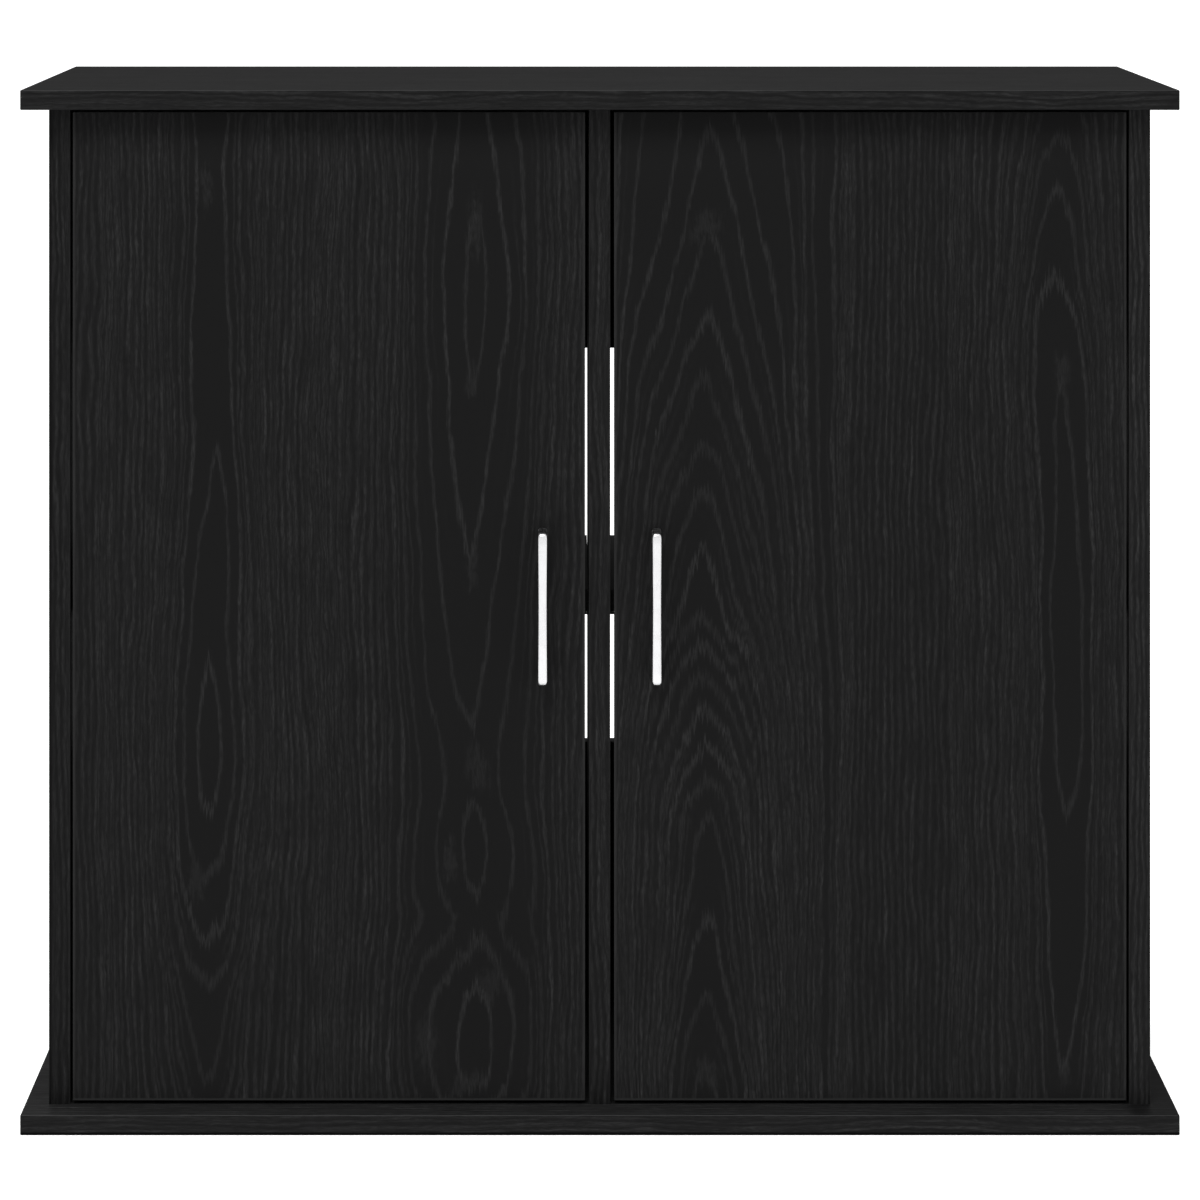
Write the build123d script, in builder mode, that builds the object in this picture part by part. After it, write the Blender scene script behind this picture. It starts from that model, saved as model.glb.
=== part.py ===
from build123d import *
import math
import os

# Aquarium stand cabinet of flat-pack decor board, in millimetres: two bays, two
# doors on concealed hinges, two shelves, and the connectors that join the boards.
# The origin is the centre of the footprint on the floor. +Z is up and the doors
# face -Y. The left half lies at -X; most right-hand pieces are its mirror image.

os.makedirs("parts", exist_ok=True)

# ---------------------------------------------------------------------------
# Driving dimensions
# ---------------------------------------------------------------------------
WIDTH = 810.0
DEPTH = 360.0
HEIGHT = 730.0

# Boards
SLAB_T = 14.0            # top and base slab
PANEL_T = 15.0           # every other board
SIDE_OVERHANG = 17.0     # slab edge to side panel face
FRONT_OVERHANG = 28.0    # slab front to body front
REAR_OVERHANG = 30.0     # body rear to slab rear
SLAB_ROUND = 0.8         # edge band radius on the slabs
EDGE_BREAK = 0.5         # edge break on the other boards
X_OUT = WIDTH / 2 - SIDE_OVERHANG          # outer face of a side panel
X_IN = X_OUT - PANEL_T                     # inner face of a side panel
X_DIV = PANEL_T / 2                        # face of the centre divider
X_SIDE_MID = X_OUT - PANEL_T / 2
PANEL_X = (-X_SIDE_MID, 0.0, X_SIDE_MID)
Y_FRONT = -DEPTH / 2 + FRONT_OVERHANG      # front of the body
Y_REAR = DEPTH / 2 - REAR_OVERHANG         # rear of the body
Z_LOW = SLAB_T
Z_HIGH = HEIGHT - SLAB_T
BAY_W = X_IN - X_DIV
BAY_MID = (X_IN + X_DIV) / 2

# Back rails, one at the top and one at the bottom of each bay
RAIL_H = 200.0
Y_RAIL = Y_REAR - PANEL_T / 2

# Shelves and their pins
SHELF_TOP = 372.5
SHELF_Z = SHELF_TOP - PANEL_T              # underside
SHELF_SETBACK = 25.0     # room for the door corner and the hinge link swing
SHELF_SIDE_GAP = 0.3
SHELF_DEPTH_PLAY = 0.3
Y_SHELF_FRONT = Y_FRONT + SHELF_SETBACK
Y_SHELF_REAR = Y_REAR - PANEL_T
PIN_R = 2.5
PIN_HEAD_R = 4.5
PIN_HEAD_L = 9.0
PIN_DROP = 3.0           # pin axis below the shelf
PIN_HOLE_SIDE = 9.0      # hole depth in a side panel
PIN_HOLE_DIVIDER = 6.0
PIN_END_GAP = 0.5        # plug end to hole bottom

# Doors
HINGE_GAP = 1.9          # door edge to side panel
MEET_GAP = 2.75          # door edge to centre divider
DOOR_Z0 = 16.4
DOOR_Z1 = 713.2
DOOR_X_HINGE = X_IN - HINGE_GAP
DOOR_X_MEET = X_DIV + MEET_GAP
Y_DOOR_REAR = Y_FRONT + PANEL_T

# Handles
HANDLE_X = 40.0
HANDLE_Z = 366.5
HANDLE_HOLES = 96.0      # screw pitch
HANDLE_LEG = 11.0
HANDLE_W = 6.3
HANDLE_OUT = 25.0        # reach in front of the door
HANDLE_BAR = 7.0
HANDLE_ROUND = 5.5
HANDLE_INNER_ROUND = 4.0
HANDLE_EDGE = 0.7

# Running fits
RUN_FIT = 0.05
OPEN_FIT = 0.22
SNUG = 0.02

# Concealed hinges. Points of the linkage are given in the hinge's plan frame,
# origin at the outer front corner of the closed door, x to the cabinet's
# centre, y to the rear.
HINGE_Z = (110.0, 620.0)
CUP_X = 22.5
CUP_BORE_R = 17.5
CUP_BORE_DEPTH = 12.0
CUP_R = 17.42
CUP_DEPTH = 11.5
CUP_WALL_R = 16.5        # inside of the dish
CUP_RIM = 1.2            # width of the rim around the dish
CUP_FLOOR_Y = 4.1
FLANGE_T = 1.2
FLANGE_SIZE = (15.0, 61.0)
FLANGE_CORNER = 7.0
CUP_SCREW_PITCH = 48.0
CUP_SCREW_OFFSET = 6.0
PIVOT_A = (21.773, 7.200)     # arm to outer link
PIVOT_B = (16.218, 7.912)     # arm to inner link
PIVOT_C = (11.378, 6.330)     # outer link to cup
PIVOT_D = (22.391, 13.000)    # inner link to cup, the open pivot
RIVET_R = 1.3
RIVET_D_R = 1.2
LUG_EYE_R = 2.2
TONGUE_EYE_R = 2.19
LINK_W = 4.2
OUTER_LINK_W = LINK_W - 0.2
INNER_LINK_W = LINK_W + 0.2
EAR_NECK_W = LINK_W + 0.8
EAR_NECK_END = (27.0, 13.0)

# Mounting plate on the side panel and the arm clamped to its rib
PLATE_Y = 52.0                # row of the plate's screws
PLATE_SCREW_PITCH = 32.0
PLATE_PILOT_R = 2.0
PLATE_PILOT_DEPTH = 12.0
PLATE_HOLE_R = 2.1
PLATE_T = 2.0
PLATE_WINGS = (17.0, 50.0)
PLATE_WING_CORNER = 6.0
PLATE_BODY = (27.0, 13.0)
PLATE_BODY_Y = 57.0
RIB_SIZE = (24.0, 6.8)
RIB_Y = 57.5
ARM_X = 13.0                  # face of the arm towards the cabinet's centre
ARM_WEB_T = 1.6
RIB_H = HINGE_GAP + ARM_X - ARM_WEB_T - PLATE_T
ARM_SCREW_Y = 60.0
ARM_SCREW_HOLE_R = 2.3
RIB_THREAD_R = 2.0
RIB_THREAD_DEPTH = 9.0

# Layers of the linkage, distance from the hinge's middle plane
L_TONGUE = 1.8
L_INNER = (2.0, 3.6)
L_EAR = (3.8, 5.4)
L_OUTER = (5.5, 7.1)
L_LUG = (7.2, 8.8)

# Plan outlines of the hinge, (x, y) in its plan frame
LUG_OUTLINE = [(8.6, 3.7), (14.6, 3.7), (13.6, 7.6), (9.2, 7.6)]
TONGUE_OUTLINE = [(20.2, 3.7), (26.4, 3.7), (24.58, 13.0), (20.2, 13.0)]
ARM_CHEEK = [
    (24.3, 11.0), (24.3, 24.5), (20.0, 27.0), (10.0, 33.0), (2.0, 43.0), (2.0, 72.0),
    (13.0, 72.0), (13.0, 46.0), (14.5, 41.0), (30.5, 27.0), (30.5, 13.5), (27.4, 9.6),
]
ARM_WEB = [
    (28.9, 17.0), (30.5, 17.0), (30.5, 27.0), (14.5, 41.0), (13.0, 46.0), (13.0, 72.0),
    (11.4, 72.0), (11.4, 45.5), (13.2, 40.1), (28.9, 26.3),
]

# Cam locks. The setback runs from the joint face to the cam's axis.
CAM_SETBACK = 24.0
CAM_R = 7.4
CAM_BORE_R = 7.5
CAM_BORE_DEPTH = 12.5
CAM_LEN = 12.0
CAM_SUNK = 0.3           # cam face below the board face
CAM_CROSS = (8.0, 1.3)   # length and width of a recess arm
CAM_CROSS_DEPTH = 1.8
CAM_HEAD_HOLE_R = 3.7
CAM_HEAD_HOLE_L = 12.0
CAM_HEAD_HOLE_START = 3.2     # beyond the cam's axis
CAM_Y = (-85.0, 83.0)
Z_TOP_CAM = Z_HIGH - CAM_SETBACK
RAIL_CAM_INSET = 40.0
LOWER_RAIL_CAM_Z = (Z_LOW + RAIL_CAM_INSET, Z_LOW + RAIL_H - RAIL_CAM_INSET)
UPPER_RAIL_CAM_Z = (Z_HIGH - RAIL_H + RAIL_CAM_INSET, Z_HIGH - RAIL_CAM_INSET)
RAIL_CAM_Z = LOWER_RAIL_CAM_Z + UPPER_RAIL_CAM_Z

# Cam bolts
BOLT_HOLE_R = 4.0
BOLT_THREAD_HOLE_R = 3.0
BOLT_THREAD_HOLE_DEPTH = 9.5
BOLT_SHANK_R = 2.4
BOLT_THROUGH_HOLE_R = 2.6
NECK_START = CAM_SETBACK - 2.5
HEAD_START = CAM_SETBACK - 0.8
# Lengths of the bolt: radius, start and end from the joint face towards the cam
BOLT_TIP = (
    (1.8, NECK_START, HEAD_START),             # neck
    (3.3, HEAD_START, CAM_SETBACK + 2.4),      # head
)
BOLT_STEPS = (
    (2.95, 0.0, -9.0),                         # thread
    (3.6, 0.0, 1.6),                           # collar
    (BOLT_SHANK_R, 1.6, NECK_START),
) + BOLT_TIP

# Dowels
DOWEL_Y = (-122.0, 118.0)
DOWEL_R = 4.0
DOWEL_HOLE_R = DOWEL_R + 0.05
DOWEL_L = 30.0
DOWEL_IN_SLAB = 9.0
DOWEL_END_GAP = 0.5
DOWEL_CHAMFER = 0.8
SLAB_HOLE_DEPTH = DOWEL_IN_SLAB + DOWEL_END_GAP
PANEL_HOLE_DEPTH = DOWEL_L - DOWEL_IN_SLAB + DOWEL_END_GAP

# Base screws and their holes
SINK_DEPTH = 1.0         # straight part above the countersink, from the floor
SINK_CONE_H = 3.0
SINK_R = 5.3
BASE_HOLE_R = 3.6
BASE_PILOT_R = 2.6
BASE_PILOT_DEPTH = 38.0
BASE_HEAD_R = 5.1
BASE_HEAD_Z = 0.3
BASE_SHANK_R = 3.4
BASE_THREAD_R = 2.5
BASE_THREAD_L = 36.5
BASE_THREAD_Z = SLAB_T - 0.5
BASE_SOCKET_R = 2.3
BASE_SOCKET_DEPTH = 3.2


# ---------------------------------------------------------------------------
# Helpers
# ---------------------------------------------------------------------------
def grid(first, second):
    """All pairs of the two coordinate rows."""
    return [(a, b) for a in first for b in second]


def pitched(across, centres, pitch):
    """A pair of points at each centre of the second coordinate."""
    return [(across, c + s * pitch / 2) for c in centres for s in (-1, 1)]


def front_plane(y):
    """Local x is X, local y is Z, the normal points to -Y."""
    return Plane.XZ.offset(-y)


def side_plane(x):
    """Local x is Y, local y is Z, the normal points to +X."""
    return Plane.YZ.offset(x)


def hinge_point(p):
    """Plan point of the left hinge in the cabinet's frame."""
    return (p[0] - DOOR_X_HINGE, p[1] + Y_FRONT)


def hinge_points(points):
    return [hinge_point(p) for p in points]


def slot_between(p, q):
    """Centre, length and direction of a slot that joins two plan points."""
    a, b = hinge_point(p), hinge_point(q)
    mid = ((a[0] + b[0]) / 2, (a[1] + b[1]) / 2)
    dx, dy = b[0] - a[0], b[1] - a[1]
    return mid, math.hypot(dx, dy), math.degrees(math.atan2(dy, dx))


def layer_starts(z_mid, start, end):
    """Undersides of the two layers that lie start to end from a middle plane."""
    return (z_mid + start, z_mid - end)


def mirrored(piece):
    """The same piece on the other side of the cabinet."""
    with BuildPart() as opposite:
        mirror(piece.part, about=Plane.YZ)
    return opposite


def cross_screws(seat, way, axis, centres, head, shank, cross):
    """Round-edged screws with a cross recess, heads on the seat plane.

    way is the heads' direction along the plane's normal, and axis the world
    axis they point along. head is radius, height and rounding; shank is radius
    and length; cross is arm length, width and depth.
    """
    head_r, head_h, rounding = head
    shank_r, shank_l = shank
    cross_l, cross_w, cross_depth = cross
    with BuildPart() as screws:
        with BuildSketch(seat):
            with Locations(*centres):
                Circle(head_r)
        extrude(amount=way * head_h)
        fillet(screws.edges().group_by(axis)[-1], rounding)
        with BuildSketch(seat):
            with Locations(*centres):
                Circle(shank_r)
        extrude(amount=-way * shank_l)
        with BuildSketch(seat.offset(way * head_h)):
            with Locations(*centres):
                Rectangle(cross_l, cross_w)
                Rectangle(cross_w, cross_l)
        extrude(amount=-way * cross_depth, mode=Mode.SUBTRACT)
    return screws


# Rows of holes that several pieces share
SLAB_DOWELS = grid(PANEL_X, DOWEL_Y)                          # (x, y)
SLAB_CAMS = grid(PANEL_X, CAM_Y)                              # (x, y)
TOP_CAMS = [(y, Z_TOP_CAM) for y in CAM_Y]                    # (y, z)
RAIL_BOLTS = [(Y_RAIL, z) for z in RAIL_CAM_Z]                # (y, z)
SHELF_PINS = [(y, SHELF_Z - PIN_DROP) for y in (-96.0, 100.0)]      # (y, z)
PLATE_SCREWS = pitched(Y_FRONT + PLATE_Y, HINGE_Z, PLATE_SCREW_PITCH)  # (y, z)
ARM_SCREWS = [(Y_FRONT + ARM_SCREW_Y, z) for z in HINGE_Z]    # (y, z)
CUP_CENTRE_X = CUP_X - DOOR_X_HINGE
CUP_CENTRES = [(CUP_CENTRE_X, z) for z in HINGE_Z]            # (x, z)
CUP_SCREWS = pitched(CUP_CENTRE_X + CUP_SCREW_OFFSET, HINGE_Z, CUP_SCREW_PITCH)  # (x, z)
HANDLE_SCREWS = pitched(-HANDLE_X, (HANDLE_Z,), HANDLE_HOLES)       # (x, z)

# ---------------------------------------------------------------------------
# Slabs
# ---------------------------------------------------------------------------
with BuildPart() as top_panel:
    with BuildSketch(Plane.XY.offset(Z_HIGH)):
        Rectangle(WIDTH, DEPTH)
    extrude(amount=SLAB_T)
    fillet(top_panel.edges(), SLAB_ROUND)
    # blind holes for the dowels and the cam bolts, from below
    with BuildSketch(Plane.XY.offset(Z_HIGH)):
        with Locations(*SLAB_DOWELS):
            Circle(DOWEL_HOLE_R)
        with Locations(*SLAB_CAMS):
            Circle(BOLT_THREAD_HOLE_R)
    extrude(amount=SLAB_HOLE_DEPTH, mode=Mode.SUBTRACT)

with BuildPart() as base_panel:
    with BuildSketch(Plane.XY):
        Rectangle(WIDTH, DEPTH)
    extrude(amount=SLAB_T)
    fillet(base_panel.edges(), SLAB_ROUND)
    # blind dowel holes from above
    with BuildSketch(Plane.XY.offset(SLAB_T)):
        with Locations(*SLAB_DOWELS):
            Circle(DOWEL_HOLE_R)
    extrude(amount=-SLAB_HOLE_DEPTH, mode=Mode.SUBTRACT)
    # countersunk clearance holes for the base screws, from below
    for radius, depth in ((BASE_HOLE_R, SLAB_T), (SINK_R, SINK_DEPTH)):
        with BuildSketch(Plane.XY):
            with Locations(*SLAB_CAMS):
                Circle(radius)
        extrude(amount=depth, mode=Mode.SUBTRACT)
    with Locations(*[(x, y, SINK_DEPTH) for x, y in SLAB_CAMS]):
        Cone(SINK_R, BASE_HOLE_R, SINK_CONE_H,
             align=(Align.CENTER, Align.CENTER, Align.MIN), mode=Mode.SUBTRACT)


# ---------------------------------------------------------------------------
# Upright boards
# ---------------------------------------------------------------------------
# Holes in the ends of an upright: z of the end, signed depth, radius, y places
END_HOLES = (
    (Z_LOW, PANEL_HOLE_DEPTH, DOWEL_HOLE_R, DOWEL_Y),
    (Z_HIGH, -PANEL_HOLE_DEPTH, DOWEL_HOLE_R, DOWEL_Y),
    (Z_HIGH, -CAM_SETBACK, BOLT_HOLE_R, CAM_Y),
    (Z_LOW, BASE_PILOT_DEPTH, BASE_PILOT_R, CAM_Y),
)


def upright(x_mid, face_holes):
    """Board between the slabs. face_holes: face x, signed depth, radius, (y, z) places."""
    with BuildPart() as board:
        with BuildSketch(Plane.XY.offset(Z_LOW)):
            with Locations((x_mid, (Y_FRONT + Y_REAR) / 2)):
                Rectangle(PANEL_T, Y_REAR - Y_FRONT)
        extrude(amount=Z_HIGH - Z_LOW)
        chamfer(board.edges().filter_by(Axis.Z), EDGE_BREAK)
        for z, depth, radius, places in END_HOLES:
            with BuildSketch(Plane.XY.offset(z)):
                with Locations(*[(x_mid, y) for y in places]):
                    Circle(radius)
            extrude(amount=depth, mode=Mode.SUBTRACT)
        for x_face, depth, radius, places in face_holes:
            with BuildSketch(side_plane(x_face)):
                with Locations(*places):
                    Circle(radius)
            extrude(amount=depth, mode=Mode.SUBTRACT)
    return board


left_side_panel = upright(-X_SIDE_MID, (
    (-X_IN, -CAM_BORE_DEPTH, CAM_BORE_R, TOP_CAMS),
    (-X_IN, -BOLT_THREAD_HOLE_DEPTH, BOLT_THREAD_HOLE_R, RAIL_BOLTS),
    (-X_IN, -PIN_HOLE_SIDE, PIN_R + RUN_FIT, SHELF_PINS),
    (-X_IN, -PLATE_PILOT_DEPTH, PLATE_PILOT_R, PLATE_SCREWS),
))

# The divider's cam bores open to the left bay; its rail bolt holes go through
centre_divider = upright(0, (
    (-X_DIV, CAM_BORE_DEPTH, CAM_BORE_R, TOP_CAMS),
    (-X_DIV, PANEL_T, BOLT_THROUGH_HOLE_R, RAIL_BOLTS),
    (-X_DIV, PIN_HOLE_DIVIDER, PIN_R + RUN_FIT, SHELF_PINS),
    (X_DIV, -PIN_HOLE_DIVIDER, PIN_R + RUN_FIT, SHELF_PINS),
))

# ---------------------------------------------------------------------------
# Shelves, shelf pins and back rails
# ---------------------------------------------------------------------------
with BuildPart() as left_shelf:
    with BuildSketch(Plane.XY.offset(SHELF_Z)):
        with Locations((-BAY_MID, (Y_SHELF_FRONT + Y_SHELF_REAR) / 2)):
            Rectangle(BAY_W - 2 * SHELF_SIDE_GAP,
                      Y_SHELF_REAR - Y_SHELF_FRONT - SHELF_DEPTH_PLAY)
    extrude(amount=PANEL_T)
    chamfer(left_shelf.edges().filter_by(Axis.X), EDGE_BREAK)

# Shelf pins: a plain plug in the panel and a stub cut flat under the shelf
PIN_CUT_W = 12.0
PIN_CUT_H = 10.0
with BuildPart() as left_shelf_pins:
    for x, into, out in ((-X_IN, PIN_END_GAP - PIN_HOLE_SIDE, PIN_HEAD_L),
                         (-X_DIV, PIN_HOLE_DIVIDER - PIN_END_GAP, -PIN_HEAD_L)):
        with BuildSketch(side_plane(x)):
            with Locations(*SHELF_PINS):
                Circle(PIN_R)
        extrude(amount=into)
        with BuildSketch(side_plane(x)):
            with Locations(*SHELF_PINS):
                Circle(PIN_HEAD_R)
            with Locations(*[(y, SHELF_Z + PIN_CUT_H / 2) for y, z in SHELF_PINS]):
                Rectangle(PIN_CUT_W, PIN_CUT_H, mode=Mode.SUBTRACT)
        extrude(amount=out)


def back_rail(z_mid, free_edge, cam_z):
    """Left rail. free_edge picks the long edges to break: 0 lowest, -1 highest."""
    with BuildPart() as rail:
        with BuildSketch(front_plane(Y_REAR)):
            with Locations((-BAY_MID, z_mid)):
                Rectangle(BAY_W, RAIL_H)
        extrude(amount=PANEL_T)
        chamfer(rail.edges().filter_by(Axis.X).group_by(Axis.Z)[free_edge], EDGE_BREAK)
        # cam bores in the rear face, bolt holes in both ends
        with BuildSketch(front_plane(Y_REAR)):
            with Locations(*grid((-X_IN + CAM_SETBACK, -X_DIV - CAM_SETBACK), cam_z)):
                Circle(CAM_BORE_R)
        extrude(amount=CAM_BORE_DEPTH, mode=Mode.SUBTRACT)
        for x, depth in ((-X_IN, CAM_SETBACK), (-X_DIV, -CAM_SETBACK)):
            with BuildSketch(side_plane(x)):
                with Locations(*[(Y_RAIL, z) for z in cam_z]):
                    Circle(BOLT_HOLE_R)
            extrude(amount=depth, mode=Mode.SUBTRACT)
    return rail


upper_left_back_rail = back_rail(Z_HIGH - RAIL_H / 2, 0, UPPER_RAIL_CAM_Z)
lower_left_back_rail = back_rail(Z_LOW + RAIL_H / 2, -1, LOWER_RAIL_CAM_Z)

# ---------------------------------------------------------------------------
# Doors and handles
# ---------------------------------------------------------------------------
# Holes from the door's rear face: (x, z) places, radius, depth
DOOR_HOLES = (
    (CUP_CENTRES, CUP_BORE_R, CUP_BORE_DEPTH),
    (CUP_SCREWS, 1.8, 11.5),
    (HANDLE_SCREWS, 2.3, PANEL_T),
)
with BuildPart() as left_door:
    with BuildSketch(front_plane(Y_DOOR_REAR)):
        with Locations((-(DOOR_X_HINGE + DOOR_X_MEET) / 2, (DOOR_Z0 + DOOR_Z1) / 2)):
            Rectangle(DOOR_X_HINGE - DOOR_X_MEET, DOOR_Z1 - DOOR_Z0)
    extrude(amount=PANEL_T)
    chamfer(left_door.edges(), EDGE_BREAK)
    for places, radius, depth in DOOR_HOLES:
        with BuildSketch(front_plane(Y_DOOR_REAR)):
            with Locations(*places):
                Circle(radius)
        extrude(amount=depth, mode=Mode.SUBTRACT)

# Bow handle: a flat bar on two legs, in one piece
HANDLE_LOW = HANDLE_Z - HANDLE_HOLES / 2 - HANDLE_LEG / 2
HANDLE_HIGH = HANDLE_Z + HANDLE_HOLES / 2 + HANDLE_LEG / 2
Y_BAR_FRONT = Y_FRONT - HANDLE_OUT
Y_BAR_REAR = Y_BAR_FRONT + HANDLE_BAR
with BuildPart() as left_handle:
    with BuildSketch(side_plane(-HANDLE_X - HANDLE_W / 2)) as handle_profile:
        with BuildLine():
            Polyline(
                (Y_FRONT, HANDLE_LOW),
                (Y_BAR_FRONT, HANDLE_LOW),
                (Y_BAR_FRONT, HANDLE_HIGH),
                (Y_FRONT, HANDLE_HIGH),
                (Y_FRONT, HANDLE_HIGH - HANDLE_LEG),
                (Y_BAR_REAR, HANDLE_HIGH - HANDLE_LEG),
                (Y_BAR_REAR, HANDLE_LOW + HANDLE_LEG),
                (Y_FRONT, HANDLE_LOW + HANDLE_LEG),
                close=True,
            )
        make_face()
        # Both selectors read the coordinates of the profile's own vertices,
        # which in a sketch are local: x runs along Y, y along Z.
        fillet(handle_profile.vertices().group_by(Axis.Y)[0], HANDLE_ROUND)
        fillet(
            [v for v in handle_profile.vertices()
             if abs(v.Y - Y_BAR_REAR) < 0.01
             and HANDLE_LOW + 6 < v.Z < HANDLE_HIGH - 6],
            HANDLE_INNER_ROUND,
        )
    extrude(amount=HANDLE_W)
    # edges of the two flat sides, clear of the door
    chamfer(
        [e for e in left_handle.edges()
         if abs(e.center().X + HANDLE_X) > HANDLE_W / 2 - 0.01 and e.center().Y < Y_FRONT - 0.1],
        HANDLE_EDGE,
    )
    # threaded holes for the handle screws
    with BuildSketch(front_plane(Y_FRONT)):
        with Locations(*HANDLE_SCREWS):
            Circle(2.0)
    extrude(amount=12.0, mode=Mode.SUBTRACT)

# Machine screws through the door
left_handle_screws = cross_screws(
    front_plane(Y_DOOR_REAR), -1, Axis.Y, HANDLE_SCREWS,
    head=(4.0, 2.4, 1.0), shank=(1.95, 25.5), cross=(4.4, 0.9, 1.5))

# ---------------------------------------------------------------------------
# Concealed hinges of the left door
# ---------------------------------------------------------------------------
# Cup: pressed dish with a screw flange, two lugs for pivot C and a tongue
# for pivot D
Y_FLANGE = Y_DOOR_REAR + FLANGE_T
with BuildPart() as left_hinge_cups:
    with BuildSketch(front_plane(Y_DOOR_REAR)):
        with Locations(*CUP_CENTRES):
            Circle(CUP_R)
    extrude(amount=CUP_DEPTH)
    with BuildSketch(front_plane(Y_FLANGE)):
        with Locations(*[(x + CUP_SCREW_OFFSET, z) for x, z in CUP_CENTRES]):
            RectangleRounded(*FLANGE_SIZE, FLANGE_CORNER)
        with Locations(*CUP_CENTRES):
            Circle(CUP_R + CUP_RIM)
    extrude(amount=FLANGE_T)
    with BuildSketch(front_plane(Y_FLANGE)):
        with Locations(*CUP_CENTRES):
            Circle(CUP_WALL_R)
    extrude(amount=FLANGE_T + PANEL_T - CUP_FLOOR_Y, mode=Mode.SUBTRACT)
    with BuildSketch(front_plane(Y_FLANGE)):
        with Locations(*CUP_SCREWS):
            Circle(1.95)
    extrude(amount=FLANGE_T, mode=Mode.SUBTRACT)
    for z_mid in HINGE_Z:
        for z0 in layer_starts(z_mid, *L_LUG):
            with BuildSketch(Plane.XY.offset(z0)):
                with BuildLine():
                    Polyline(*hinge_points(LUG_OUTLINE), close=True)
                make_face()
                with Locations(hinge_point(PIVOT_C)):
                    Circle(LUG_EYE_R)
            extrude(amount=L_LUG[1] - L_LUG[0])
            with BuildSketch(Plane.XY.offset(z0)):
                with Locations(hinge_point(PIVOT_C)):
                    Circle(RIVET_R + SNUG)
            extrude(amount=L_LUG[1] - L_LUG[0], mode=Mode.SUBTRACT)
        with BuildSketch(Plane.XY.offset(z_mid - L_TONGUE)):
            with BuildLine():
                Polyline(*hinge_points(TONGUE_OUTLINE), close=True)
            make_face()
            with Locations(hinge_point(PIVOT_D)):
                Circle(TONGUE_EYE_R)
        extrude(amount=2 * L_TONGUE)
        with BuildSketch(Plane.XY.offset(z_mid - L_TONGUE)):
            with Locations(hinge_point(PIVOT_D)):
                Circle(RIVET_D_R + SNUG)
        extrude(amount=2 * L_TONGUE, mode=Mode.SUBTRACT)

left_cup_screws = cross_screws(
    front_plane(Y_FLANGE), -1, Axis.Y, CUP_SCREWS,
    head=(3.4, 1.6, 0.8), shank=(1.7, FLANGE_T + 11.0), cross=(3.8, 0.8, 1.1))


def rivets(stub_pivot, stub_start, stub_end, pin_pivot, pin_r, pin_end):
    """Two stubs at one pivot and a through pin at the other, for each hinge."""
    with BuildPart() as pins:
        for z_mid in HINGE_Z:
            for z0 in layer_starts(z_mid, stub_start, stub_end):
                with BuildSketch(Plane.XY.offset(z0)):
                    with Locations(hinge_point(stub_pivot)):
                        Circle(RIVET_R)
                extrude(amount=stub_end - stub_start)
            with BuildSketch(Plane.XY.offset(z_mid - pin_end)):
                with Locations(hinge_point(pin_pivot)):
                    Circle(pin_r)
            extrude(amount=2 * pin_end)
    return pins


left_cup_rivets = rivets(PIVOT_C, L_OUTER[0], L_LUG[1], PIVOT_D, RIVET_D_R, L_INNER[1])
left_arm_rivets = rivets(PIVOT_A, L_EAR[0], L_OUTER[1], PIVOT_B, RIVET_R, L_EAR[1])

# Outer links: a plate each side, arm pivot A to cup pivot C
with BuildPart() as left_outer_links:
    mid, length, turn = slot_between(PIVOT_A, PIVOT_C)
    for z_mid in HINGE_Z:
        for z0 in layer_starts(z_mid, *L_OUTER):
            with BuildSketch(Plane.XY.offset(z0)):
                with Locations(mid):
                    SlotCenterToCenter(length, OUTER_LINK_W, rotation=turn)
                with Locations(*hinge_points((PIVOT_A, PIVOT_C))):
                    Circle(RIVET_R + RUN_FIT, mode=Mode.SUBTRACT)
            extrude(amount=L_OUTER[1] - L_OUTER[0])

# Inner links: a fork from arm pivot B to cup pivot D
with BuildPart() as left_inner_links:
    mid, length, turn = slot_between(PIVOT_B, PIVOT_D)
    for z_mid in HINGE_Z:
        for z0 in layer_starts(z_mid, *L_INNER):
            with BuildSketch(Plane.XY.offset(z0)):
                with Locations(mid):
                    SlotCenterToCenter(length, INNER_LINK_W, rotation=turn)
            extrude(amount=L_INNER[1] - L_INNER[0])
        with BuildSketch(Plane.XY.offset(z_mid - L_INNER[1])):
            with Locations(hinge_point(PIVOT_B)):
                Circle(INNER_LINK_W / 2)
        extrude(amount=2 * L_INNER[1])
        with BuildSketch(Plane.XY.offset(z_mid - L_INNER[1])):
            with Locations(hinge_point(PIVOT_B)):
                Circle(RIVET_R + RUN_FIT)
            with Locations(hinge_point(PIVOT_D)):
                Circle(RIVET_D_R + OPEN_FIT)
        extrude(amount=2 * L_INNER[1], mode=Mode.SUBTRACT)

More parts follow.
